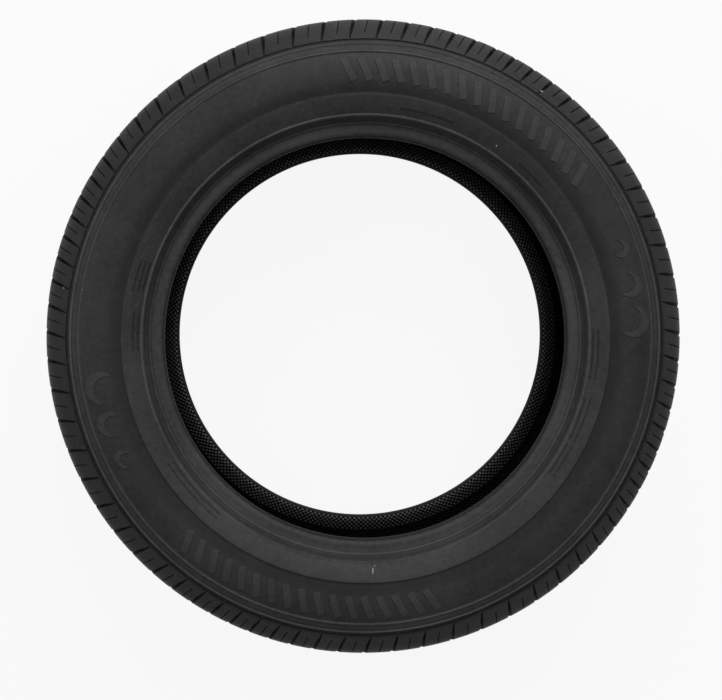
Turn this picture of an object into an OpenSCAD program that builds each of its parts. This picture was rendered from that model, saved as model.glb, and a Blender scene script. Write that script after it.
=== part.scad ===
// Radial van tyre off its rim, lying on one sidewall.
// The axle runs along Z and the middle of the tread is at the origin. Millimetres.

/* [Main sizes] */
// Diameter over the middle of the tread
outer_d = 690; // [675:1:710]
// Width over the two sidewalls at their widest, with the raised marks
section_w = 221; // [214:1:232]
// Seat diameter of the wheel rim that the beads grip
rim_seat_d = 436.6; // [432:0.2:440]
// Width between the flanges of that rim, which is the width over the bead heels
rim_w = 165; // [158:1:172]

/* [Tread] */
// Radius of the crown across the tread, as seen in section
crown_r = 1000; // [500:10:1500]
// Width of the tread up to where it turns into the shoulders
tread_w = 152; // [146:1:158]
// Radius with which the tread turns down into the shoulder
shoulder_r = 14; // [10:1:17]
// Thickness of the rubber and belts under the crown
crown_t = 16; // [14:0.5:20]
// Depth of the grooves that run round the tread
groove_depth = 9; // [6:0.5:11]
// Width of the grooves that run round the tread
groove_w = 10; // [6:0.5:13]
// How much narrower each groove is at its floor
groove_taper = 3; // [0.5:0.5:4]
// Distance of the inner pair of grooves from the middle of the tread
inner_groove_z = 17; // [12:0.5:20]
// Distance of the outer pair of grooves from the middle of the tread
outer_groove_z = 50; // [42:0.5:54]

/* [Shoulder blocks] */
// Number of blocks round each shoulder
block_count = 75; // [40:1:90]
// Share by which the longest block differs from the mean one
pitch_spread = 0.2; // [0:0.01:0.3]
// How often the block length rises and falls in one turn
pitch_waves = 4; // [1:1:12]
// Width of the slots between the blocks
slot_w = 4.6; // [2:0.1:7]
// Depth of the slots at the edge of the tread
slot_depth = 8; // [4:0.5:9]
// Angle by which the slots turn aside on the tread
slot_lean = 24; // [0:1:35]
// Where the slots run out, as a share of the way from the rim flange up to the tread
slot_end_at = 0.73; // [0.72:0.002:0.75]

/* [Sidewall] */
// Radius of the upper sidewall in section, measured across the tyre
sidewall_r = 65; // [60:1:70]
// Where the sidewall is widest, as a share of the way from the rim flange up to the tread
widest_at = 0.397; // [0.37:0.001:0.42]
// Radius of the upper sidewall in section, measured along that way and as a share of it
bow_reach = 0.594; // [0.57:0.002:0.64]
// Thickness of the sidewall at its widest
sidewall_t = 8.5; // [6:0.5:11]
// Height of the ribs that run round the sidewall
rib_h = 1.2; // [0.4:0.1:2]
// Width of the ribs that run round the sidewall
rib_w = 2.6; // [1.5:0.1:3.4]
// Place of the rib below the shoulder blocks on the same way
shoulder_rib_at = 0.7; // [0.67:0.002:0.705]
// Height above the rim flange of the rib that shows whether the bead sits evenly
rim_rib_h = 2.8; // [2.6:0.1:5]
// Place of the outer edge of the sunk field on the same way
field_outer_at = 0.61; // [0.56:0.005:0.64]
// Place of the inner edge of the sunk field on the same way
field_inner_at = 0.21; // [0.15:0.005:0.3]
// Depth of the sunk field
field_depth = 0.8; // [0.4:0.1:1.5]
// Height of the low rib along the outer edge of the field
edge_rib_h = 0.6; // [0.2:0.1:1]

/* [Raised marks] */
// Number of plain slanted bars in each of the two rows that stand in the field
bar_count = 17; // [3:1:20]
// Place of the middle of the bars on the way from the rim flange up to the tread
bar_at = 0.44; // [0.4:0.005:0.48]
// Length of each bar
bar_len = 26; // [16:1:28]
// Width of each bar
bar_w = 8; // [3:0.5:10]
// Angle from one bar to the next
bar_step = 3.5; // [2.6:0.1:4]
// Slant of the bars
bar_slant = 22; // [0:1:35]
// Number of crescents in each of the two groups between the rows
crescent_count = 3; // [1:1:5]
// Diameter of the largest crescent
crescent_d = 34; // [20:1:36]
// Share by which each crescent is smaller than the one before it
crescent_shrink = 0.2; // [0:0.05:0.4]
// Angle from one crescent to the next
crescent_step = 8; // [6:0.5:10]

/* [Bead] */
// How much smaller in radius each bead is than the rim seat, for its grip
bead_grip = 1.1; // [0.2:0.1:1.5]
// Width of the bead from its heel to its toe
bead_w = 16; // [14:0.5:19]
// Radius of the bead heel
heel_r = 6.5; // [4:0.5:8]
// Radius of the bead toe
toe_r = 1.5; // [0.5:0.1:2.5]
// Radius of the hollow in which the rim flange lies
flange_r = 9.5; // [8:0.5:10.5]
// Height of the rim flange over the rim seat
flange_h = 17.3; // [16.5:0.1:18]

/* [Hidden] */
$fn = 180;

// Main radii and where the crown ends
outer_r = outer_d / 2;
bead_r = rim_seat_d / 2 - bead_grip;
edge_z = tread_w / 2;
edge_a = asin(edge_z / crown_r);
edge_r = outer_r - crown_r * (1 - cos(edge_a));

// The way from the rim flange up to the tread, and the diameter at a share of it
flange_top_r = rim_seat_d / 2 + flange_h;
side_h = outer_r - flange_top_r;
function way_d(share) = 2 * (flange_top_r + share * side_h);
widest_d = way_d(widest_at);
slot_end_d = way_d(slot_end_at);
shoulder_rib_d = way_d(shoulder_rib_at);
field_outer_d = way_d(field_outer_at);
field_inner_d = way_d(field_inner_at);
bar_d = way_d(bar_at);
rim_rib_d = 2 * (flange_top_r + rim_rib_h);

// Centre of the flange hollow
flange_c = [flange_top_r - flange_r, rim_w / 2 + flange_r];

// Small shapes that follow from no other size
cut_past = 6;          // how far a cutter reaches beyond the rubber
slot_foot = 0.3;       // rubber left under the slots where they run out
hollow_end_a = -14;    // where the flange hollow ends, as an angle on its arc
foot_a = 132;          // where the lower sidewall meets the flange hollow, as an angle on its arc
foot_lift = 1.9;       // how much wider it is there than the middle of the hollow
bead_face_a = 150;     // where the bead's inner face meets the liner, as an angle on its arc
bead_face_w = 8.75;    // how far inside the bead heel that is
shoulder_end_a = 57;   // where the shoulder's arc ends
crown_steps = 5;       // straight pieces that make up half of the crown

// Places of the raised marks, as angles round the axle
row_start_a = [38, 228];
group_start_a = [4, 190];

// Round bite that makes a disc into a crescent, as shares of the disc's diameter
bite_d = 0.86;
bite_shift = [0.1, 0.2];

// Points along an arc in the section plane, where x is the radius and y is the width
function arc(c, rx, ry, from, to, steps) =
    [for (i = [0:steps]) let (a = from + (to - from) * i / steps) c + [rx * cos(a), ry * sin(a)]];

// Radii of an arc that leaves the widest circle w from the middle and comes by angle a to point p
function lower_radii(w, p, a) = [(p[0] - widest_d / 2) / cos(a), (w - p[1]) / (1 - sin(a))];

// Radii of the sidewall's two arcs, which meet where it is widest, and of the liner's lower arc
side_w = section_w / 2;
liner_w = side_w - sidewall_t;
upper = [bow_reach * side_h, sidewall_r];
lower = lower_radii(side_w, [flange_top_r, flange_c[1] + foot_lift], foot_a);
liner_lower = lower_radii(liner_w, [flange_top_r, rim_w / 2 - bead_face_w], bead_face_a);

// Angle on the sidewall's arcs of the circle with diameter d
function side_a(d) = acos((d - widest_d) / 2 / (d > widest_d ? upper[0] : lower[0]));

// Point on the sidewall at an angle on its arcs, lifted off it by h
function side_point(a, h) = let (r = a < 90 ? upper : lower)
    [widest_d / 2 + (r[0] + h) * cos(a), side_w - r[1] + (r[1] + h) * sin(a)];

// Point on the sidewall at diameter d, lifted off it by h
function on_side(d, h = 0) = side_point(side_a(d), h);

// Stretch of sidewall between two diameters, lifted by h
function side_arc(d1, d2, h, steps) =
    [for (i = [0:steps]) side_point(side_a(d1) + (side_a(d2) - side_a(d1)) * i / steps, h)];

// Cross-section of a rib round the sidewall
function side_rib(d) =
    [on_side(d + rib_w), on_side(d + rib_w / 2, rib_h), on_side(d - rib_w / 2, rib_h), on_side(d - rib_w)];

// The same run of points on the other half of the tyre, back to just before its first point
function mirrored(run) = [for (i = [len(run) - 1:-1:1]) [run[i][0], -run[i][1]]];

// Arc of the shoulder, and the lower lip of the blocks
shoulder = arc([edge_r, edge_z] - shoulder_r * [cos(edge_a), sin(edge_a)],
               shoulder_r, shoulder_r, edge_a, shoulder_end_a, 6);
block_foot = on_side(slot_end_d + rib_w, rib_h);

// Outside of one half, from the middle of the tread to the flange hollow
outside = concat(
    arc([outer_r - crown_r, 0], crown_r, crown_r, 0, edge_a * (1 - 1 / crown_steps), crown_steps - 1),
    shoulder,
    [block_foot, on_side(slot_end_d)],
    side_rib(shoulder_rib_d),
    [on_side(field_outer_d + 2 * rib_w), on_side(field_outer_d + rib_w, edge_rib_h),
     on_side(field_outer_d - rib_w, edge_rib_h)],
    side_arc(field_outer_d - 2 * rib_w, rim_rib_d + 2 * rib_w, 0, 13),
    side_rib(rim_rib_d),
    [flange_c + [flange_r + rib_h, rib_h / 2], flange_c + [flange_r, -rib_h / 2]]);

// Bead of one half, from the flange hollow over heel and toe
bead = concat(
    arc(flange_c, flange_r, flange_r, hollow_end_a, -90, 6),
    arc([bead_r + heel_r, rim_w / 2 - heel_r], heel_r, heel_r, 90, 180, 6),
    arc([bead_r + toe_r, rim_w / 2 - bead_w + toe_r], toe_r, toe_r, 180, 270, 3));

// Inside of one half, from the bead's inner face to the flat under the tread
liner = concat(
    arc([widest_d / 2, liner_w - liner_lower[1]], liner_lower[0], liner_lower[1], bead_face_a, 90, 8),
    arc([widest_d / 2, side_w - sidewall_r], outer_r - crown_t - widest_d / 2, sidewall_r - sidewall_t, 82, 0, 11));

half = concat(outside, bead, liner);

// Floor line of a shoulder slot, from the tread edge to where it runs out
slot_top = [edge_r - slot_depth, edge_z];
slot_low = on_side(slot_end_d, slot_foot);

// Angle of slot i round the shoulder, with blocks that grow and shrink in waves
function slot_angle(i) =
    360 * i / block_count - pitch_spread * 360 / (2 * PI * pitch_waves) * cos(360 * pitch_waves * i / block_count);

// Whole section turned about the axle, with no grooves yet
module casing() {
    rotate_extrude() polygon(concat(half, mirrored(half)));
}

// One groove that runs round the tread
module groove(z) {
    r = outer_r - crown_r * (1 - cos(asin(z / crown_r)));
    wide = groove_w / 2 + groove_taper / 2 * cut_past / groove_depth;
    translate([0, 0, z])
        rotate_extrude() polygon([
            [r - groove_depth, groove_w / 2 - groove_taper / 2], [r + cut_past, wide],
            [r + cut_past, -wide], [r - groove_depth, groove_taper / 2 - groove_w / 2]]);
}

// The band of rubber that is taken away where the sidewall's field is sunk
module field_band() {
    rotate_extrude() polygon(concat(
        side_arc(field_outer_d, field_inner_d, -field_depth, 9),
        side_arc(field_inner_d, field_outer_d, cut_past, 4)));
}

// A column over the sidewall with the given outline, at an angle round the axle
module column(a, d) {
    rotate([0, 0, a]) translate([d / 2, 0, side_w - sidewall_r]) linear_extrude(section_w) children();
}

// Plain slanted bars that stand in the field
module bars(start_a) {
    for (i = [0:bar_count - 1])
        column(start_a + i * bar_step, bar_d) rotate(bar_slant) square([bar_len, bar_w], center = true);
}

// Crescents that stand in the field, each smaller than the one before it
module crescents(start_a) {
    for (i = [0:crescent_count - 1])
        column(start_a + i * crescent_step, bar_d) scale(1 - i * crescent_shrink) difference() {
            circle(d = crescent_d);
            translate(crescent_d * bite_shift) circle(d = crescent_d * bite_d);
        }
}

// What is cut away to sink the field of one sidewall round its bars and crescents
module sunk_field() {
    difference() {
        field_band();
        for (a = row_start_a) bars(a);
        for (a = group_start_a) crescents(a);
    }
}

// A flat cutter as thick as a slot, standing on the section plane
module slot_cutter(outline) {
    rotate([90, 0, 0]) linear_extrude(slot_w, center = true) polygon(outline);
}

// One slot: straight down the shoulder, and leaning aside on the tread up to the outer groove
module slot() {
    slot_cutter([
        slot_top, slot_low, slot_low + [cut_past, 2 * cut_past],
        [outer_r + cut_past, slot_low[1] + cut_past], [outer_r + cut_past, edge_z]]);
    lean_len = (edge_z - outer_groove_z) / cos(slot_lean);
    translate([0, 0, edge_z]) rotate([slot_lean, 0, 0])
        slot_cutter([
            [slot_top[0], slot_w / 2], [outer_r + cut_past, slot_w / 2],
            [outer_r + cut_past, -lean_len], [slot_top[0], -lean_len]]);
}

// All slots of one shoulder
module shoulder_slots() {
    for (i = [0:block_count - 1]) rotate([0, 0, slot_angle(i)]) slot();
}

// All that is cut into one side of the tyre
module side_cuts() {
    groove(inner_groove_z);
    groove(outer_groove_z);
    shoulder_slots();
    sunk_field();
}

module tyre() {
    color([0.09, 0.09, 0.1]) difference() {
        casing();
        side_cuts();
        rotate([180, 0, 0]) side_cuts();
    }
}

tyre();
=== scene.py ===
import bpy, bmesh
from math import acos, asin, atan2, cos, hypot, pi, radians, sin, tan
from mathutils import Matrix, Vector


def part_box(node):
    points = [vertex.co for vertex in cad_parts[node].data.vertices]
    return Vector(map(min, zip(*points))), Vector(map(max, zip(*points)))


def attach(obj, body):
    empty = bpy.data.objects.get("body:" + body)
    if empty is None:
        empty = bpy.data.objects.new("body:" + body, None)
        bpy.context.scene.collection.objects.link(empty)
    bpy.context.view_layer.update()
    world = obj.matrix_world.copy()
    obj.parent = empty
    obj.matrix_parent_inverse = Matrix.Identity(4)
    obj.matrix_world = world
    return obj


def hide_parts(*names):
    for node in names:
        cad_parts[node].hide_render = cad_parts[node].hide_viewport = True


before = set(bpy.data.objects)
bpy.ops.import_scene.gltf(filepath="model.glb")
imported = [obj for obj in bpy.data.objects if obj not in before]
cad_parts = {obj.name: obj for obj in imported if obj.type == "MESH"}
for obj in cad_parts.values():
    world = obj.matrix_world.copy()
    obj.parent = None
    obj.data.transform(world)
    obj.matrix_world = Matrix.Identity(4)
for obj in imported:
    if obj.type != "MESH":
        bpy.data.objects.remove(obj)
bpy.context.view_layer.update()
low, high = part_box("tyre")
mm = 0.001
print("frame loaded, tyre is", [round(v, 4) for v in high - low])


# main sizes in metres, from the frame where it has them
tyre = {
    "outerR": high.x,
    "halfWidth": high.z,
    "crownR": 1000 * mm,
    "edgeZ": 76 * mm,            # half the tread's width
    "shoulderR": 14 * mm,
    "shoulderEnd": radians(57),
    "grooveDepth": 9 * mm,
    "grooveW": 10 * mm,
    "innerGroove": 17 * mm,
    "outerGroove": 50 * mm,
    "slotDepth": 8 * mm,
    "slotEndR": 315.46 * mm,     # where the slots run out
    "slotEndLift": 0.3 * mm,     # of their floor above the sidewall, there
    "crownT": 16 * mm,
    "sidewallR": 65 * mm,        # radius of the sidewall in section
    "widestR": 279.03 * mm,
    "sidewallT": 8.5 * mm,
    "ribH": 1.2 * mm,
    "ribW": 1.3 * mm,            # half the width of a rib's foot
    "lowRibH": 0.6 * mm,
    "lowRibW": 1.2 * mm,
    "lowRibOut": 0.6 * mm,       # from the edge of the sunk field
    "shoulderRibR": 312.18 * mm,
    "rimRibR": 238.4 * mm,
    "fieldOuterR": 302.33 * mm,
    "fieldInnerR": 258.57 * mm,
    "fieldDepth": 0.8 * mm,
    "fillet": 0.35 * mm,
    "rimSeatR": 218.3 * mm,
    "rimHalfW": 82.5 * mm,
    "beadGrip": 1.1 * mm,
    "beadW": 16 * mm,
    "heelR": 6.5 * mm,
    "heelLine": 0.7 * mm,        # depth of the line round the heel
    "toeR": 1.5 * mm,
    "flangeR": 9.5 * mm,
    "flangeH": 17.3 * mm,
    "flangeLip": ((1.2, 1.2), (0.8, 0.7), (0.1, 0.2), (-0.2, -0.5)),    # mm from the top of the flange
}
sideX, sideZ = tyre["widestR"], tyre["halfWidth"] - tyre["sidewallR"]  # centre of the sidewall's arc


# the section, as points with x the radius and y the width

def arcPoints(centre, rx, ry, start, end, steps):
    turns = [start + (end - start) * i / steps for i in range(steps + 1)]
    return [(centre[0] + rx * cos(a), centre[1] + ry * sin(a)) for a in turns]


def sideAngle(r):
    return acos((r - sideX) / tyre["sidewallR"])


def onSide(r, lift=0.0):
    a = sideAngle(r)
    reach = tyre["sidewallR"] + lift
    return sideX + reach * cos(a), sideZ + reach * sin(a)


def sideStretch(r1, r2, lift, steps):
    reach = tyre["sidewallR"] + lift
    return arcPoints((sideX, sideZ), reach, reach, sideAngle(r1), sideAngle(r2), steps)


def roundRib(r, height, halfW, steps=6):
    # a low ring whose top is rounder than its foot
    spots = [1 - 2 * i / steps for i in range(steps + 1)]
    return [onSide(r + halfW * t, height * cos(pi / 2 * t) ** 1.4) for t in spots]


def crownPoint(z, depth=0.0):
    reach = tyre["crownR"] - depth
    return tyre["outerR"] - tyre["crownR"] + (reach ** 2 - z * z) ** 0.5, z


def mirroredRun(run):
    return [(x, -y) for x, y in reversed(run)]


edgeA = asin(tyre["edgeZ"] / tyre["crownR"])
edgeR = crownPoint(tyre["edgeZ"])[0]
shoulderC = (edgeR - tyre["shoulderR"] * cos(edgeA), tyre["edgeZ"] - tyre["shoulderR"] * sin(edgeA))
blockFoot = onSide(tyre["slotEndR"] + tyre["ribW"], tyre["ribH"])
slotTop = (edgeR - tyre["slotDepth"], tyre["edgeZ"])
slotLow = onSide(tyre["slotEndR"], tyre["slotEndLift"])


def shoulderRun(steps):
    return arcPoints(shoulderC, tyre["shoulderR"], tyre["shoulderR"], edgeA, tyre["shoulderEnd"], steps)


def floorRun():
    # floor of the grooves and slots, on which the blocks stand
    grooveEnd = tyre["outerGroove"] + tyre["grooveW"] / 2
    run = [crownPoint(grooveEnd * i / 8, tyre["grooveDepth"]) for i in range(9)]
    steps = [i / 6 for i in range(7)]
    return run + [tuple(a + (b - a) * t for a, b in zip(slotTop, slotLow)) for t in steps]


def sectionLoop():
    # closed section of the casing: floor, sidewall, bead and liner of both halves
    t = tyre
    flange = (t["rimSeatR"] + t["flangeH"] - t["flangeR"], t["rimHalfW"] + t["flangeR"])
    beadR = t["rimSeatR"] - t["beadGrip"]
    fillet = t["fillet"]
    outside = floorRun() + [onSide(t["slotEndR"] - fillet)]
    outside += [onSide(t["slotEndR"] - 2 * mm)] + roundRib(t["shoulderRibR"], t["ribH"], t["ribW"])
    outside += sideStretch(t["shoulderRibR"] - 2 * mm, t["fieldOuterR"] + 2 * mm, 0, 3)
    outside += roundRib(t["fieldOuterR"] + t["lowRibOut"], t["lowRibH"], t["lowRibW"])[:-2]
    outside += [onSide(t["fieldOuterR"], 0.1 * mm),
                onSide(t["fieldOuterR"] - 0.2 * mm, fillet - t["fieldDepth"])]
    outside += sideStretch(t["fieldOuterR"] - 2 * fillet, t["fieldInnerR"] + 2 * fillet, -t["fieldDepth"], 22)
    outside += [onSide(t["fieldInnerR"] + 0.2 * mm, fillet - t["fieldDepth"]),
                onSide(t["fieldInnerR"], -fillet / 2)]
    outside += sideStretch(t["fieldInnerR"] - fillet, t["rimRibR"] + 2 * mm, 0, 10)
    outside += roundRib(t["rimRibR"], t["ribH"], t["ribW"])
    outside += [(flange[0] + t["flangeR"] + x * mm, flange[1] + y * mm) for x, y in t["flangeLip"]]
    bead = arcPoints(flange, t["flangeR"], t["flangeR"], radians(-14), radians(-90), 10)
    heel = (beadR + t["heelR"], t["rimHalfW"] - t["heelR"])
    bead += arcPoints(heel, t["heelR"], t["heelR"], pi / 2, radians(156), 8)
    sunk = t["heelR"] - t["heelLine"]
    bead += arcPoints(heel, sunk, sunk, radians(159), radians(163), 1)
    bead += arcPoints(heel, t["heelR"], t["heelR"], radians(166), pi, 2)
    toe = (beadR + t["toeR"], t["rimHalfW"] - t["beadW"] + t["toeR"])
    bead += arcPoints(toe, t["toeR"], t["toeR"], pi, 1.5 * pi, 4)
    liner = arcPoints((sideX, sideZ), t["outerR"] - t["crownT"] - sideX, t["sidewallR"] - t["sidewallT"],
                      radians(150), 0, 34)
    half = outside + bead + liner
    return half + mirroredRun(half[1:])


def pathLength(run):
    lengths = [0.0]
    for a, b in zip(run, run[1:]):
        lengths.append(lengths[-1] + hypot(b[0] - a[0], b[1] - a[1]))
    return lengths


def lengthAt(run, test):
    # length along a run at which test, a function of a point, changes sign
    lengths = pathLength(run)
    for i in range(len(run) - 1):
        a, b = test(run[i]), test(run[i + 1])
        if a <= 0 <= b or b <= 0 <= a:
            return lengths[i] + (lengths[i + 1] - lengths[i]) * (a / (a - b) if a != b else 0)
    raise ValueError("the run never reaches that place")


def pointAt(run, length):
    lengths = pathLength(run)
    for i in range(len(run) - 1):
        if length <= lengths[i + 1] or i == len(run) - 2:
            (ax, ay), (bx, by) = run[i], run[i + 1]
            t = (length - lengths[i]) / (lengths[i + 1] - lengths[i])
            d = hypot(bx - ax, by - ay)
            return (ax + (bx - ax) * t, ay + (by - ay) * t), ((by - ay) / d, (ax - bx) / d)


def depthTo(floor, run, length):
    # how far below the run the floor lies, square to the run
    (px, py), (nx, ny) = pointAt(run, length)
    best = None
    for (ax, ay), (bx, by) in zip(floor, floor[1:]):
        ex, ey = bx - ax, by - ay
        det = -nx * -ey - -ny * -ex
        if abs(det) < 1e-12:
            continue
        t = ((ax - px) * -ey - (ay - py) * -ex) / det
        u = (-nx * (ay - py) + ny * (ax - px)) / det
        if -0.02 <= u <= 1.02 and t > 0 and (best is None or t < best):
            best = t
    return best if best is not None else tyre["slotDepth"]


# small helpers for node trees

def addNode(tree, kind, inputs=None, **settings):
    node = tree.nodes.new(kind)
    for key, value in settings.items():
        setattr(node, key, value)
    for key, value in (inputs or {}).items():
        socket = node.inputs[key]
        if isinstance(value, bpy.types.NodeSocket):
            tree.links.new(value, socket)
        elif value is not None:
            socket.default_value = value
    return node


def calc(tree, operation, *values):
    return addNode(tree, "ShaderNodeMath", dict(enumerate(values)), operation=operation).outputs[0]


def newTree(name, sockets):
    tree = bpy.data.node_groups.new(name, "GeometryNodeTree")
    tree.interface.new_socket("Geometry", in_out="INPUT", socket_type="NodeSocketGeometry")
    for label, kind in sockets:
        tree.interface.new_socket(label, in_out="INPUT", socket_type="NodeSocket" + kind)
    tree.interface.new_socket("Geometry", in_out="OUTPUT", socket_type="NodeSocketGeometry")
    return tree, tree.nodes.new("NodeGroupInput").outputs, tree.nodes.new("NodeGroupOutput")


def roundTyreTree():
    # repeats a flat tile round the tyre and lays it on a section path:
    # x counts tiles, y runs along the path, z lifts off it, "shift" moves sideways in metres;
    # "along" and "lift" keep y and z for the materials
    tree, given, out = newTree("lay tiles round the tyre", [
        ("Path", "Object"), ("Copies", "Int"), ("First", "Float"), ("Step", "Float"), ("Swing", "Float"),
        ("Waves", "Float"), ("Weld", "Float"), ("Both Sides", "Bool"), ("Material", "Material")])
    single = addNode(tree, "GeometryNodeGeometryToInstance", {"Geometry": given["Geometry"]})
    copies = addNode(tree, "GeometryNodeDuplicateElements",
                     {"Geometry": single.outputs[0], "Amount": given["Copies"]}, domain="INSTANCE")
    numbered = addNode(tree, "GeometryNodeStoreNamedAttribute",
                       {"Geometry": copies.outputs["Geometry"], "Name": "copy",
                        "Value": copies.outputs["Duplicate Index"]}, domain="INSTANCE", data_type="FLOAT")
    real = addNode(tree, "GeometryNodeRealizeInstances", {"Geometry": numbered.outputs[0]})
    place = addNode(tree, "ShaderNodeSeparateXYZ", {0: addNode(tree, "GeometryNodeInputPosition").outputs[0]})
    copy = addNode(tree, "GeometryNodeInputNamedAttribute", {"Name": "copy"}, data_type="FLOAT").outputs[0]
    shift = addNode(tree, "GeometryNodeInputNamedAttribute", {"Name": "shift"}, data_type="FLOAT").outputs[0]
    info = addNode(tree, "GeometryNodeObjectInfo", {"Object": given["Path"]})
    curve = addNode(tree, "GeometryNodeMeshToCurve", {"Mesh": info.outputs["Geometry"]})
    sample = addNode(tree, "GeometryNodeSampleCurve",
                     {"Curves": curve.outputs[0], "Length": place.outputs["Y"]}, mode="LENGTH")
    spot = addNode(tree, "ShaderNodeSeparateXYZ", {0: sample.outputs["Position"]}).outputs
    ahead = addNode(tree, "ShaderNodeSeparateXYZ", {0: sample.outputs["Tangent"]}).outputs
    lift = place.outputs["Z"]
    radius = calc(tree, "MULTIPLY_ADD", ahead["Z"], lift, spot["X"])
    height = calc(tree, "SUBTRACT", spot["Z"], calc(tree, "MULTIPLY", ahead["X"], lift))
    turn = calc(tree, "MULTIPLY", given["Step"], calc(tree, "ADD", copy, place.outputs["X"]))
    wave = calc(tree, "MULTIPLY", given["Swing"],
                calc(tree, "COSINE", calc(tree, "MULTIPLY", turn, given["Waves"])))
    angle = calc(tree, "SUBTRACT", calc(tree, "ADD", given["First"], turn), wave)
    angle = calc(tree, "ADD", angle, calc(tree, "DIVIDE", shift, spot["X"]))
    noted = real
    for label, axis in (("along", "Y"), ("lift", "Z")):
        noted = addNode(tree, "GeometryNodeStoreNamedAttribute",
                        {"Geometry": noted.outputs[0], "Name": label, "Value": place.outputs[axis]},
                        data_type="FLOAT")
    laid = addNode(tree, "ShaderNodeCombineXYZ", {
        "X": calc(tree, "MULTIPLY", radius, calc(tree, "COSINE", angle)),
        "Y": calc(tree, "MULTIPLY", radius, calc(tree, "SINE", angle)), "Z": height})
    moved = addNode(tree, "GeometryNodeSetPosition",
                    {"Geometry": noted.outputs[0], "Position": laid.outputs[0]})
    turned = addNode(tree, "GeometryNodeTransform", {"Geometry": moved.outputs[0], "Rotation": (pi, 0, 0)})
    pair = addNode(tree, "GeometryNodeJoinGeometry", {"Geometry": moved.outputs[0]})
    tree.links.new(turned.outputs[0], pair.inputs[0])
    sides = addNode(tree, "GeometryNodeSwitch", {"Switch": given["Both Sides"], "False": moved.outputs[0],
                                                 "True": pair.outputs[0]}, input_type="GEOMETRY")
    welded = addNode(tree, "GeometryNodeMergeByDistance",
                     {"Geometry": sides.outputs[0], "Distance": given["Weld"]})
    flat = addNode(tree, "GeometryNodeRealizeInstances", {"Geometry": welded.outputs[0]})
    done = addNode(tree, "GeometryNodeSetMaterial",
                   {"Geometry": flat.outputs[0], "Material": given["Material"]})
    tree.links.new(done.outputs[0], out.inputs[0])
    return tree


layRound = roundTyreTree()


def pathObject(name, run):
    mesh = bpy.data.meshes.new(name)
    mesh.from_pydata([(x, 0, y) for x, y in run], [(i, i + 1) for i in range(len(run) - 1)], [])
    obj = bpy.data.objects.new(name, mesh)
    bpy.context.scene.collection.objects.link(obj)
    return obj


def tileMesh(name, verts, faces):
    # verts are (turn, length, lift, shift)
    mesh = bpy.data.meshes.new(name)
    mesh.from_pydata([v[:3] for v in verts], [], faces)
    mesh.attributes.new("shift", "FLOAT", "POINT").data.foreach_set("value", [v[3] for v in verts])
    return mesh


def layTile(name, tile, path, material, copies=1, first=0.0, step=0.0, swing=0.0, waves=0.0,
            bothSides=True, weld=0.01 * mm, crease=35, spare=("copy", "shift", "along", "lift")):
    # makes a piece of a tile; spare names the attributes that its material doesn't read
    obj = bpy.data.objects.new(name, tile)
    bpy.context.scene.collection.objects.link(obj)
    mod = obj.modifiers.new("lay", "NODES")
    mod.node_group = layRound
    wanted = {"Path": path, "Copies": copies, "First": first, "Step": step, "Swing": swing,
              "Waves": waves, "Weld": weld, "Both Sides": bothSides, "Material": material}
    for item in layRound.interface.items_tree:
        if item.in_out == "INPUT" and item.name in wanted:
            mod[item.identifier] = wanted[item.name]
    bpy.context.view_layer.update()
    ready = obj.evaluated_get(bpy.context.evaluated_depsgraph_get())
    mesh = bpy.data.meshes.new_from_object(ready)
    obj.modifiers.remove(mod)
    obj.data = mesh
    bm = bmesh.new()
    bm.from_mesh(mesh)
    bmesh.ops.recalc_face_normals(bm, faces=bm.faces)
    bm.to_mesh(mesh)
    bm.free()
    for label in spare:
        if label in mesh.attributes:
            mesh.attributes.remove(mesh.attributes[label])
    mesh.shade_smooth()
    mesh.set_sharp_from_angle(angle=radians(crease))
    mesh.name = name
    print(name, "has", sum(len(p.vertices) - 2 for p in mesh.polygons), "triangles")
    return obj


def keepPiece(obj):
    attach(obj, "root")
    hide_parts("tyre")


# tiles

def gridFaces(rows, cols):
    corners = [i * cols + j for i in range(rows - 1) for j in range(cols - 1)]
    return [(a, a + 1, a + cols + 1, a + cols) for a in corners]


def blockTile(name, rows, columns, bottomAt, leanAt, halfAt=None):
    # rows are (length, drop) and columns are (turn, shift, dropAt, slots): dropAt depends on the length,
    # and slots says how many slot half widths, which halfAt gives, the shift grows by;
    # the lower of the two drops counts, but nothing goes below the bottom that closes the block
    verts = []
    for length, rowDrop in rows:
        for turn, shift, dropAt, *slots in columns:
            drop = min(bottomAt(length), max(rowDrop, dropAt(length)))
            slot = slots[0] * halfAt(length) if slots else 0
            verts.append((turn, length, -drop, shift + slot + leanAt(length)))
    wide, last = len(columns), len(columns) - 1
    starts = [i * wide for i in range(len(rows))]     # first corner of each row
    faces = gridFaces(len(rows), wide)
    faces += [(a, a + wide, a + wide + last, a + last) for a in starts[1:-2]]
    faces.append((*range(last, -1, -1), wide, wide + last))
    faces.append((starts[-2], *range(starts[-1], starts[-1] + wide), starts[-2] + last))
    return tileMesh(name, verts, faces)


def ribbonTile(name, lines, height, bevel, sink):
    # each line is a list of (x, length, half width, direction) stations of a raised ribbon
    thinnest = 0.05 * mm
    profile = [(-1, -sink), (-1, height - bevel), (-1, height), (1, height), (1, height - bevel), (1, -sink)]
    verts, faces = [], []
    for stations in lines:
        first = len(verts)
        for x, y, halfW, way in stations:
            nx, ny = -sin(way), cos(way)
            for side, lift in profile:
                reach = max(halfW - (bevel if lift == height else 0), thinnest) * side
                verts.append((0, y + ny * reach, lift, x + nx * reach))
        count = len(stations)
        for i in range(count - 1):
            for k in range(6):
                a, b = first + i * 6 + k, first + i * 6 + (k + 1) % 6
                faces.append((a, b, b + 6, a + 6))
        faces.append(tuple(first + k for k in range(5, -1, -1)))
        faces.append(tuple(first + (count - 1) * 6 + k for k in range(6)))
    return tileMesh(name, verts, faces)


# the rubber

highestTone = 3.0     # no look below uses a stronger one


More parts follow.
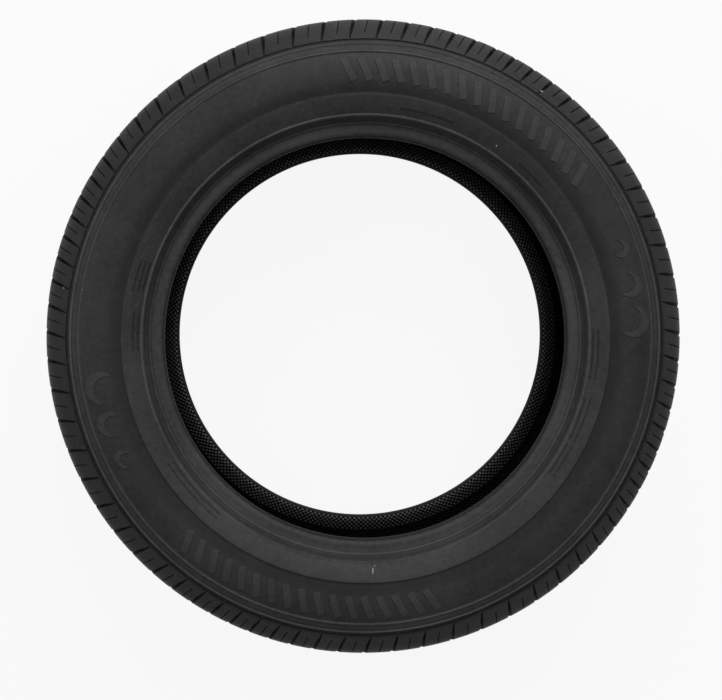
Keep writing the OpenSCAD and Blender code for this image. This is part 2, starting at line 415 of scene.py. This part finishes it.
def rubberMaterial(name, look):
    # radius and angle are about the axle, and look is a dictionary like plainRubber below
    mat = bpy.data.materials.new(name)
    mat.use_nodes = True
    tree = mat.node_tree
    tree.nodes.clear()
    coords = addNode(tree, "ShaderNodeTexCoord").outputs["Object"]
    part = addNode(tree, "ShaderNodeSeparateXYZ", {0: coords}).outputs
    radius = calc(tree, "SQRT", calc(tree, "ADD", calc(tree, "MULTIPLY", part["X"], part["X"]),
                                     calc(tree, "MULTIPLY", part["Y"], part["Y"])))
    angle = calc(tree, "ARCTAN2", part["Y"], part["X"])
    out = addNode(tree, "ShaderNodeOutputMaterial")

    def noise(scale, detail=3.0, rough=0.6, vector=coords):
        return addNode(tree, "ShaderNodeTexNoise", {"Vector": vector, "Scale": scale, "Detail": detail,
                                                    "Roughness": rough}).outputs["Fac"]

    def ramp(value, stops):
        node = addNode(tree, "ShaderNodeValToRGB", {"Fac": value})
        for i, (pos, grey) in enumerate(stops):
            stop = node.color_ramp.elements[i] if i < 2 else node.color_ramp.elements.new(pos)
            stop.position = pos
            stop.color = (grey, grey, grey, 1)
        return node.outputs["Color"]

    def rise(value, stretch):
        return ramp(value, [(stretch[0], 0.0), (stretch[1], 1.0)])

    def spread(value, low, high, start=0.0, end=1.0):
        return addNode(tree, "ShaderNodeMapRange", {"Value": value, "From Min": start, "From Max": end,
                                                    "To Min": low, "To Max": high}).outputs[0]

    def blendColours(share, first, second):
        # a Mix node keeps its colour sockets at 6 and 7 and its colour result at 2
        node = addNode(tree, "ShaderNodeMix", {0: share, 6: first, 7: second}, data_type="RGBA")
        return node.outputs[2]

    def within(value, start, end):
        return calc(tree, "COMPARE", value, (start + end) / 2, (end - start) / 2)

    def times(*values):
        result = values[0]
        for value in values[1:]:
            result = calc(tree, "MULTIPLY", result, value)
        return result

    def toneAt(tones):
        # a tone of 1 leaves the colour as it is; the ramp holds each tone's share of the highest
        first, last = tones[0][0], tones[-1][0]
        stops = [((r - first) / (last - first), tone / highestTone) for r, tone in tones]
        return ramp(spread(radius, 0, 1, first * mm, last * mm), stops)

    def scaled(colour, factor):
        return addNode(tree, "ShaderNodeVectorMath", {0: colour, "Scale": factor}, operation="SCALE").outputs[0]

    def toned(colour, tone):
        dimmed = addNode(tree, "ShaderNodeVectorMath", {0: colour, 1: tone}, operation="MULTIPLY").outputs[0]
        return scaled(dimmed, highestTone)

    # soft rings that follow the mould, and patches of handling and dust that don't
    ringPlace = addNode(tree, "ShaderNodeCombineXYZ", {
        "X": times(radius, look["ringFineness"]), "Y": times(angle, look["ringChange"]),
        "Z": times(part["Z"], look["ringFineness"] * look["ringRise"])}).outputs[0]
    rings = noise(1.0, 2.0, 0.5, ringPlace)
    patches = noise(look["patchScale"], 4.0, 0.65)
    grain = noise(look["grainScale"], 2.0, 0.7)
    dust = rise(noise(look["patchScale"] * look["dustFineness"], 5.0, 0.7), look["dustRange"])
    specks = rise(noise(look["speckScale"], 1.0, 0.5), look["speckRange"])
    mottle = noise(look["mottleScale"], 3.0, 0.75)

    wear = calc(tree, "ADD", times(patches, 1 - look["mottleShare"]), times(mottle, look["mottleShare"]))
    shade = blendColours(rise(wear, look["wearRange"]), look["dark"], look["light"])
    # the tones by radius lighten and darken the colour; on the casing they are painted highlights and painted
    # shade
    if look["tones"]:
        shade = toned(shade, toneAt(look["tones"]))
    inside = None
    if look["insidePaintedLight"]:
        # the cavity and the beads' inner faces have tones of their own: painted light near the toe at the
        # hole's edge and painted shade deeper in the cavity
        place = addNode(tree, "ShaderNodeAttribute", attribute_name="along").outputs["Fac"]
        inside = within(place, *look["insideRun"])
        shade = blendColours(inside, shade, toned(look["light"][:3], toneAt(look["insidePaintedLight"])))
    if look["darkBelow"]:
        # painted shade: the walls of grooves and slots darken with their depth
        lift = addNode(tree, "ShaderNodeAttribute", attribute_name="lift").outputs["Fac"]
        depth = spread(lift, look["darkTone"], 1, -look["darkBelow"], -look["darkFrom"])
        shade = scaled(shade, depth)
    dustAndPaintedLight = blendColours(times(dust, look["dustAmount"]), shade, look["dustColour"])
    dustAndPaintedLight = blendColours(times(specks, look["speckAmount"]), dustAndPaintedLight, look["speckColour"])
    rough = calc(tree, "ADD", spread(patches, look["roughLow"], look["roughHigh"]),
                 times(calc(tree, "SUBTRACT", rings, 0.5), look["ringRough"]))
    if look["mattInside"]:
        # the seat and what lies inside it are matt
        edge = look["mattInside"]
        rough = calc(tree, "ADD", rough, spread(radius, look["mattRough"], 0, edge, edge + look["mattBlend"]))

    # height of the surface in metres
    height = calc(tree, "ADD", times(rings, look["ringHeight"]), times(grain, look["grainHeight"]))
    for pattern in look["patterns"]:
        turns = calc(tree, "SINE", calc(tree, "ADD", times(angle, pattern["rays"]),
                                        times(radius, 2 * pi * pattern["perMetre"])))
        mask = within(radius, pattern["from"] * mm, pattern["to"] * mm)
        if pattern.get("inside"):
            mask = times(mask, inside)
        height = calc(tree, "ADD", height, times(turns, mask, pattern["height"]))
        # the contrast paints the pattern's relief into the colour as light and shade
        if "contrast" in pattern:
            gain = calc(tree, "ADD", 1.0, times(turns, mask, pattern["contrast"]))
            dustAndPaintedLight = scaled(dustAndPaintedLight, gain)
    bump = addNode(tree, "ShaderNodeBump", {"Strength": 1.0, "Distance": 1.0, "Height": height})
    shader = addNode(tree, "ShaderNodeBsdfPrincipled", {
        "Base Color": dustAndPaintedLight, "Roughness": rough, "Specular IOR Level": look["specular"],
        "Sheen Weight": look["sheen"], "Sheen Roughness": look["sheenRough"], "Normal": bump.outputs[0]})
    tree.links.new(shader.outputs[0], out.inputs["Surface"])
    return mat


plainRubber = {
    "dark": (0.017, 0.017, 0.0175, 1),
    "light": (0.031, 0.031, 0.032, 1),
    "wearRange": (0.4, 0.62),     # noise values between which dark turns to light
    "mottleShare": 0.45,          # the rest of the wear comes from the patches
    "mottleScale": 170,
    "patchScale": 9,
    "dustColour": (0.05, 0.05, 0.052, 1),
    "dustAmount": 0.15,
    "dustFineness": 2.3,          # times the patches
    "dustRange": (0.5, 0.78),
    "speckScale": 260,
    "speckAmount": 0.08,
    "speckRange": (0.68, 0.76),
    "speckColour": (0.16, 0.16, 0.16, 1),
    "roughLow": 0.46,
    "roughHigh": 0.62,
    "ringFineness": 420,
    "ringChange": 0.7,            # how fast the rings change round the tyre
    "ringRise": 0.6,
    "ringRough": 0.2,
    "ringHeight": 0.06 * mm,
    "mattInside": 0,              # radius inside which the rubber is matt
    "mattRough": 0.4,
    "mattBlend": 2 * mm,
    "darkBelow": 0,               # depth below the surface at which the painted shade is darkest
    "darkFrom": 0.3 * mm,
    "darkTone": 0.06,
    "grainScale": 900,
    "grainHeight": 0.03 * mm,
    "specular": 0.22,
    "sheen": 0.03,
    "sheenRough": 0.5,
    "tones": [],                  # pairs of radius in mm and tone
    "insidePaintedLight": [],            # the same for the inside
    "insideRun": (0, 0),          # where the inside starts and ends along the section
    "patterns": [],               # rays round the tyre, rings to the metre, and radii in mm
}

# tones of the casing by radius, from the bead out to the blocks: dark at the seat, painted highlights on the
# heel, on the rings at the rim and on the crests of the rim rib and upper ribs, painted shade in the hollows
# between them, at the step down into the sunk field and on the floors beneath the blocks, and the band lighter
# than the field
casingTonesAndPaintedLight = [
    (214, 0.2), (217, 0.3), (218.2, 1.3), (219.3, 1.9), (228.5, 1.9),                       # seat and heel
    (230, 0.9), (231.5, 2.4), (233, 0.9), (234.5, 2.0), (236, 0.9), (238.4, 3.0),           # rings at the rim
    (240, 1.6), (257.5, 1.45), (258.6, 0.55), (266, 0.65), (276, 1.1), (301.5, 1.2),        # band and field
    (303.2, 2.8), (304.5, 0.8), (306, 1.5), (309.6, 1.5), (310.5, 0.7), (312.2, 3.0),       # upper ribs
    (313.8, 0.7), (315.5, 0.6), (317, 0.12), (345, 0.1)]
insidePaintedLight = [(214, 0.8), (216, 3.0), (221, 2.6), (224.5, 0.9), (231, 0.5), (345, 0.2)]
# the knurl inside: its relief is a bump, and its contrast also paints it into the colour as light and shade
knurl = {"rays": 260, "perMetre": 180, "from": 216, "to": 330, "height": 0.6 * mm, "inside": True,
         "contrast": 0.9}
casingPatterns = [
    {"rays": 960, "perMetre": 0, "from": 305.5, "to": 310.5, "height": 0.12 * mm},     # serrated ring
    {"rays": 0, "perMetre": 480, "from": 240.5, "to": 257.5, "height": 0.035 * mm},    # turned rings
    {"rays": 620, "perMetre": 420, "from": 259, "to": 302, "height": 0.02 * mm},       # hatch of the field
    knurl, dict(knurl, rays=-knurl["rays"]),     # crossed lines inside
]


loop = sectionLoop()
loop.append(loop[0])
loopLengths = pathLength(loop)
# the inside starts where the bead's toe ends
toeZ = tyre["rimHalfW"] - tyre["beadW"]
insideStart = next(y for y, (r, z) in zip(loopLengths, loop) if r < 222 * mm and z < toeZ + 0.001 * mm)
casingRubber = rubberMaterial("casing rubber", dict(
    plainRubber, tones=casingTonesAndPaintedLight, insidePaintedLight=insidePaintedLight, mattInside=218 * mm, patterns=casingPatterns,
    insideRun=(insideStart, loopLengths[-1] - insideStart)))
# the tread is lighter towards its crown, and has painted shade that darkens the walls of its grooves and slots
# with depth
treadRubber = rubberMaterial("tread rubber", dict(
    plainRubber, tones=[(316, 0.95), (330, 0.95), (340, 1.7), (345, 2.0)], darkBelow=2.2 * mm,
    light=(0.028, 0.028, 0.029, 1), ringHeight=0.03 * mm, ringRough=0.1, patchScale=14, speckAmount=0.15))
# a lighter copy of the rubber: painted light on the raised bars and crescents
paintedLightMarkRubber = rubberMaterial("raised mark rubber with painted light", dict(
    plainRubber, dark=(0.032, 0.032, 0.033, 1), light=(0.048, 0.048, 0.049, 1), ringHeight=0.03 * mm))
# a much darker copy of the rubber: painted shade on the small dashes of the band
paintedShadeDashRubber = rubberMaterial("dash rubber with painted shade", dict(
    plainRubber, dark=(0.004, 0.004, 0.004, 1), light=(0.007, 0.007, 0.007, 1), dustAmount=0.05))
paleRubber = rubberMaterial("scuffed rubber", dict(
    plainRubber, dark=(0.3, 0.3, 0.29, 1), light=(0.5, 0.5, 0.48, 1)))
print("rubbers made")


# casing

casing = {"segments": 320}


def buildCasing():
    path = pathObject("casing path", loop)
    verts = [(turn, y, 0, 0) for y in loopLengths for turn in (0, 1)]
    tile = tileMesh("casing tile", verts, gridFaces(len(loop), 2))
    obj = layTile("casing", tile, path, casingRubber, copies=casing["segments"],
                  step=2 * pi / casing["segments"], bothSides=False, spare=("copy", "shift", "lift"))
    bpy.data.objects.remove(path)
    return obj


keepPiece(buildCasing())


# tread

blocks = {
    "count": 75,
    "swing": 0.2,              # share by which the longest block differs from the mean one
    "waves": 4,                # how often the length rises and falls in one turn
    "slotW": 5.2 * mm,
    "slotFootW": 0.5 * mm,
    "sway": 9 * mm,            # how far the slots lean between their foot and the tread's edge
    "lean": radians(36),       # of the slots on the tread
    "bevel": 0.4 * mm,
    "skirt": 1.5 * mm,         # how far the end at the groove spreads below its edge
    "footTaper": 1.8 * mm,
    "sipeW": 0.6 * mm,
    "sipeDepth": 2.5 * mm,
    "sipeBevel": 0.3 * mm,
    "sipeReach": 0.62,         # share of the shoulder wall that the sipe runs down
    "sipeRunOut": 6 * mm,
    "bury": 0.6 * mm,          # how far the blocks stand in the casing
}


# how the tread's tiles go round the tyre
pitch = {"copies": blocks["count"], "step": 2 * pi / blocks["count"],
         "swing": blocks["swing"] / blocks["waves"], "waves": blocks["waves"]}


def treadPath():
    end = tuple(f + (f - s) * 0.3 for f, s in zip(blockFoot, shoulderRun(1)[-1]))
    crown = [crownPoint(tyre["edgeZ"] * i / 8) for i in range(8)]
    return crown + shoulderRun(14) + [blockFoot, end]


def flatDrop(amount):
    return lambda length: amount


def buildShoulderBlocks():
    run = treadPath()
    path = pathObject("tread path", run)
    floor = floorRun()
    start = lengthAt(run, lambda p: p[1] - tyre["outerGroove"] - tyre["grooveW"] / 2)
    edge = lengthAt(run, lambda p: p[1] - tyre["edgeZ"])
    wall = pathLength(run)[-3]
    end = pathLength(run)[-2]
    bevel, deep = blocks["bevel"], 30 * mm     # deep is below any floor, so the bottom stops it

    def bottomAt(length):
        return depthTo(floor, run, length) + blocks["bury"]

    def share(length):
        # 0 at the foot of the slots, 1 at the edge of the tread, more on the tread
        return (slotLow[1] - pointAt(run, length)[0][1]) / (slotLow[1] - tyre["edgeZ"])

    def leanAt(length):
        if length > edge:
            return -blocks["sway"] * share(length)
        return -blocks["sway"] - (tyre["edgeZ"] - pointAt(run, length)[0][1]) * tan(blocks["lean"])

    def halfAt(length):
        opened = max(0, min(1, share(length))) ** 0.5
        return (blocks["slotFootW"] + (blocks["slotW"] - blocks["slotFootW"]) * opened) / 2

    inner = [start + bevel + (edge - start - bevel) * i / 5 for i in range(6)]
    inner += [edge + (wall - edge) * i / 6 for i in range(1, 7)]
    inner += [wall + (end - blocks["footTaper"] - wall) * i / 6 for i in range(1, 7)]
    rows = [(start + blocks["skirt"], deep), (start, bevel)] + [(y, 0) for y in inner]
    rows += [(end - blocks["footTaper"] * 0.4, bevel * 0.5), (end - bevel * 0.3, bevel * 1.3), (end, deep)]
    sipeEnd = wall + (end - wall) * blocks["sipeReach"]

    def sipeDrop(length):
        return max(0.0, min(1.0, (sipeEnd - length) / blocks["sipeRunOut"])) ** 0.5 * blocks["sipeDepth"]

    none, sipe = flatDrop(0), blocks["sipeW"] / 2
    sipeEdge = sipe + blocks["sipeBevel"]
    columns = [(0, 0, flatDrop(deep), 1), (0, 0, flatDrop(bevel), 1), (0, bevel, none, 1),
               (0.2, 0, none), (0.38, 0, none), (0.5, -sipeEdge, none), (0.5, -sipe, sipeDrop),
               (0.5, sipe, sipeDrop), (0.5, sipeEdge, none), (0.62, 0, none), (0.8, 0, none),
               (1, -bevel, none, -1), (1, 0, flatDrop(bevel), -1), (1, 0, flatDrop(deep), -1)]
    tile = blockTile("shoulder block tile", rows, columns, bottomAt, leanAt, halfAt)
    obj = layTile("shoulderBlocks", tile, path, treadRubber, weld=0, spare=("copy", "shift", "along"), **pitch)
    bpy.data.objects.remove(path)
    return obj


keepPiece(buildShoulderBlocks())

ribs = {
    "sipeW": 0.8 * mm,
    "sipeBevel": 0.2 * mm,
    "lean": 0.6,               # share of the slots' lean
    "bevel": 0.5 * mm,
    "skirt": 1.5 * mm,
}


def buildTreadRibs():
    reach, inner = tyre["outerGroove"], tyre["innerGroove"]
    run = [crownPoint(-reach + 2 * reach * i / 40) for i in range(41)]
    path = pathObject("crown path", run)
    half, deep = tyre["grooveW"] / 2, tyre["grooveDepth"] + blocks["bury"]
    bevel, skirt, edge = ribs["bevel"], ribs["skirt"], ribs["sipeBevel"]
    gap, none = ribs["sipeW"] / 2, flatDrop(0)
    columns = [(0, gap, flatDrop(deep)), (0, gap, flatDrop(edge)), (0, gap + edge, none),
               (0.25, 0, none), (0.5, 0, none), (0.75, 0, none),
               (1, -gap - edge, none), (1, -gap, flatDrop(edge)), (1, -gap, flatDrop(deep))]
    verts, faces = [], []
    for a, b in ((half - inner, inner - half), (inner + half, reach - half), (half - reach, -inner - half)):
        start = lengthAt(run, lambda p: p[1] - a)
        end = lengthAt(run, lambda p: p[1] - b)
        rows = [(start - skirt, deep), (start, bevel), (start + bevel, 0)]
        rows += [(start + (end - start) * i / 4, 0) for i in range(1, 4)]
        rows += [(end - bevel, 0), (end, bevel), (end + skirt, deep)]
        tile = blockTile("rib", rows, columns, flatDrop(deep),
                         lambda y: (y - start) * tan(blocks["lean"]) * ribs["lean"])
        shifts = [0.0] * len(tile.vertices)
        tile.attributes["shift"].data.foreach_get("value", shifts)
        offset = len(verts)
        verts += [(*v.co, s) for v, s in zip(tile.vertices, shifts)]
        faces += [tuple(offset + k for k in p.vertices) for p in tile.polygons]
    obj = layTile("treadRibs", tileMesh("rib tile", verts, faces), path, treadRubber, bothSides=False, weld=0,
                  spare=("copy", "shift", "along"), **pitch)
    bpy.data.objects.remove(path)
    return obj


keepPiece(buildTreadRibs())


# marks on the sidewall, each laid along this stretch of it

sideRun = sideStretch(317 * mm, 240 * mm, 0, 160)
# bars and crescents stand in the sunk field and end just below the sidewall around it
flush = {"height": -0.02 * mm, "bevel": 0.3 * mm, "sink": tyre["fieldDepth"] + 0.4 * mm}


def sideAt(r):
    return lengthAt(sideRun, lambda p: p[0] - r)


def straightRibbon(x, y, length, halfW, way, steps):
    spots = [length * (i / steps - 0.5) for i in range(steps + 1)]
    return [(x + s * cos(way), y + s * sin(way), halfW, way) for s in spots]


bars = {"count": 17, "first": (38, 228), "step": 3.5, "length": 26 * mm, "width": 8 * mm, "slant": 22,
        "midR": 284 * mm}


def buildBars(path):
    way = radians(90 + bars["slant"])
    line = straightRibbon(0, sideAt(bars["midR"]), bars["length"], bars["width"] / 2, way, 10)
    for first in bars["first"]:
        tile = ribbonTile("bar tile", [line], **flush)
        keepPiece(layTile("sidewallBars_%d" % first, tile, path, paintedLightMarkRubber, copies=bars["count"],
                          first=radians(first), step=radians(bars["step"])))


crescents = {"count": 3, "first": (4, 190), "step": 8, "size": 34 * mm, "shrink": 0.2, "midR": 284 * mm,
             "biteSize": 0.86, "bite": (0.1, 0.2),      # size and place of what is bitten off, as shares
             "stations": 28, "tipShare": 0.985, "tipHalfW": 0.1 * mm}


def crescentLine(x, y, size):
    # the disc's rim and the bite's rim, paired into a ribbon between the two points where they cross
    outer, inner = size / 2, size / 2 * crescents["biteSize"]
    bx, by = crescents["bite"][0] * size, crescents["bite"][1] * size
    gap = hypot(bx, by)
    back = atan2(-by, -bx)
    reach = acos(max(-1, min(1, (gap * gap + outer * outer - inner * inner) / (2 * gap * outer))))
    span = pi - reach
    stations = []
    for i in range(crescents["stations"] + 1):
        a = back + (i / crescents["stations"] * 2 - 1) * span * crescents["tipShare"]
        dx, dy = cos(a), sin(a)
        toBite = dx * bx + dy * by
        innerHit = toBite + (inner * inner - gap * gap + toBite * toBite) ** 0.5
        mid, half = (outer + innerHit) / 2, (outer - innerHit) / 2
        stations.append((x + dx * mid, y + dy * mid, max(half, crescents["tipHalfW"]), a + pi / 2))
    return stations


def buildCrescents(path):
    lines = []
    for i in range(crescents["count"]):
        x = radians(crescents["step"]) * i * crescents["midR"]
        size = crescents["size"] * (1 - i * crescents["shrink"])
        lines.append(crescentLine(x, sideAt(crescents["midR"]), size))
    for first in crescents["first"]:
        tile = ribbonTile("crescent tile", lines, **flush)
        keepPiece(layTile("sidewallCrescents_%d" % first, tile, path, paintedLightMarkRubber, first=radians(first)))


dashes = {
    "length": 2.0 * mm,
    "width": 1.1 * mm,
    "spacing": 2.3 * mm,
    "height": 0.22 * mm,
    "bevel": 0.1 * mm,
    "sink": 0.5 * mm,
    "rows": [      # first and last angle in degrees, radii in mm
        (160.4, 168.4, (251.2, 246.4, 241.9)), (173.1, 182.8, (246.8, 241.9)), (324, 333, (246.8, 241.9)),
        (333.8, 345.8, (246.8, 241.9)), (350.2, 363.2, (246.8, 241.9)), (42, 50, (246.0,)),
        (68.5, 82.5, (246.5,)), (212, 230, (247.2, 242.0))],
}


def buildDashes(path):
    for first, last, radii in dashes["rows"]:
        lines = [straightRibbon(0, sideAt(r * mm), dashes["length"], dashes["width"] / 2, pi / 2, 1)
                 for r in radii]
        tile = ribbonTile("dash tile", lines, dashes["height"], dashes["bevel"], dashes["sink"])
        step = dashes["spacing"] / (radii[0] * mm)
        keepPiece(layTile("bandDashes_%d" % first, tile, path, paintedShadeDashRubber, first=radians(first), step=step,
                          copies=round(radians(last - first) / step)))


scuffs = {
    "height": 0.12 * mm,
    "bevel": 0.05 * mm,
    "sink": 0.4 * mm,
    "sideReach": (316 * mm, 235 * mm),
    "spots": [     # angle in degrees, radius, length and width in mm, and the way it runs
        (271.4, 246.5, 7.0, 0.9, 86), (271.9, 241.5, 2.0, 0.7, 70), (56.4, 246.6, 2.2, 1.2, 120),
        (54.9, 322.5, 3.4, 1.4, 10), (156.6, 237.6, 1.4, 0.8, 90), (169.8, 302.9, 2.0, 1.2, 80),
        (170.2, 324.5, 1.8, 1.0, 30)],
}


def buildScuffs():
    for i, (turn, r, length, width, way) in enumerate(scuffs["spots"]):
        onBlocks = r * mm > tyre["slotEndR"]
        run = treadPath() if onBlocks else sideStretch(*scuffs["sideReach"], 0, 200)
        path = pathObject("scuff path", run)
        y = lengthAt(run, lambda p: p[0] - r * mm)
        line = straightRibbon(0, y, length * mm, width / 2 * mm, radians(way), 6)
        line = [(x, spot, halfW * (0.25 + 0.75 * sin(pi * (k + 0.5) / 7)), a)     # thin at both ends
                for k, (x, spot, halfW, a) in enumerate(line)]
        tile = ribbonTile("scuff tile", [line], scuffs["height"], scuffs["bevel"], scuffs["sink"])
        keepPiece(layTile("scuff_%d" % (i + 1), tile, path, paleRubber, first=radians(turn), bothSides=False))
        bpy.data.objects.remove(path)


sidePath = pathObject("sidewall path", sideRun)
buildBars(sidePath)
buildCrescents(sidePath)
buildDashes(sidePath)
buildScuffs()
bpy.data.objects.remove(sidePath)


# stage

camera = {
    "place": Vector((-57, 43.8, 1377)) * mm,
    "aim": Vector((-2.7, -14.5, 0)) * mm,
    "lens": 60.14,
    "clipEnd": 50,
}


def addCamera():
    data = bpy.data.cameras.new("camera")
    data.lens = camera["lens"]
    data.clip_end = camera["clipEnd"]
    obj = bpy.data.objects.new("camera", data)
    bpy.context.scene.collection.objects.link(obj)
    back = (camera["place"] - camera["aim"]).normalized()
    right = Vector((0, 1, 0)).cross(back).normalized()
    turned = Matrix((right, back.cross(right), back)).transposed()
    obj.matrix_world = Matrix.Translation(camera["place"]) @ turned.to_4x4()
    bpy.context.scene.camera = obj


addCamera()

lamps = {
    "top": {"place": (0.4, 1.9, 1.4), "size": 1.6, "power": 34},
    "left": {"place": (-1.8, 0.4, 1.6), "size": 1.2, "power": 8},
    "front": {"place": (0.3, 0.2, 2.6), "size": 1.6, "power": 9},
}


def addLamps():
    for name, lamp in lamps.items():
        data = bpy.data.lights.new(name, "AREA")
        data.size = lamp["size"]
        data.energy = lamp["power"]
        obj = bpy.data.objects.new(name, data)
        bpy.context.scene.collection.objects.link(obj)
        obj.location = lamp["place"]
        obj.rotation_euler = (-Vector(lamp["place"])).to_track_quat("-Z", "Y").to_euler()


addLamps()

studio = {
    "floorReach": 30,
    "floorColour": (0.8, 0.8, 0.8, 1),
    "floorWhite": 0.9,         # share of white that the camera sees, the rest keeps the shadow
    "soft": 0.24,              # strength of the world's light
}
white = (1, 1, 1, 1)


def whiteSeen(tree, other, share):
    # what the camera and reflections see turns white, lit by nothing
    rays = addNode(tree, "ShaderNodeLightPath").outputs
    seen = calc(tree, "MAXIMUM", rays["Is Camera Ray"], calc(tree, "MAXIMUM", rays["Is Glossy Ray"],
                                                              rays["Is Transmission Ray"]))
    bright = addNode(tree, "ShaderNodeEmission", {"Color": white, "Strength": 1.0})
    return addNode(tree, "ShaderNodeMixShader", {0: calc(tree, "MULTIPLY", seen, share), 1: other,
                                                 2: bright.outputs[0]}).outputs[0]


def addFloor():
    reach, z = studio["floorReach"], low.z
    mesh = bpy.data.meshes.new("floor")
    mesh.from_pydata([(-reach, -reach, z), (reach, -reach, z), (reach, reach, z), (-reach, reach, z)], [],
                     [(0, 1, 2, 3)])
    mat = bpy.data.materials.new("pale floor")
    mat.use_nodes = True
    tree = mat.node_tree
    tree.nodes.clear()
    pale = addNode(tree, "ShaderNodeBsdfDiffuse", {"Color": studio["floorColour"]})
    out = addNode(tree, "ShaderNodeOutputMaterial")
    tree.links.new(whiteSeen(tree, pale.outputs[0], studio["floorWhite"]), out.inputs["Surface"])
    mesh.materials.append(mat)
    floor = bpy.data.objects.new("floor", mesh)
    bpy.context.scene.collection.objects.link(floor)


addFloor()


def setWorld():
    world = bpy.data.worlds.new("studio")
    bpy.context.scene.world = world
    world.use_nodes = True
    tree = world.node_tree
    tree.nodes.clear()
    rays = addNode(tree, "ShaderNodeLightPath").outputs
    soft = addNode(tree, "ShaderNodeBackground", {"Color": white, "Strength": studio["soft"]})
    bright = addNode(tree, "ShaderNodeBackground", {"Color": white, "Strength": 1.0})
    mixed = addNode(tree, "ShaderNodeMixShader",
                    {0: rays["Is Camera Ray"], 1: soft.outputs[0], 2: bright.outputs[0]})
    out = addNode(tree, "ShaderNodeOutputWorld")
    tree.links.new(mixed.outputs[0], out.inputs["Surface"])


setWorld()
bpy.context.scene.view_settings.view_transform = "Standard"
print("camera, lamps, floor and world set")
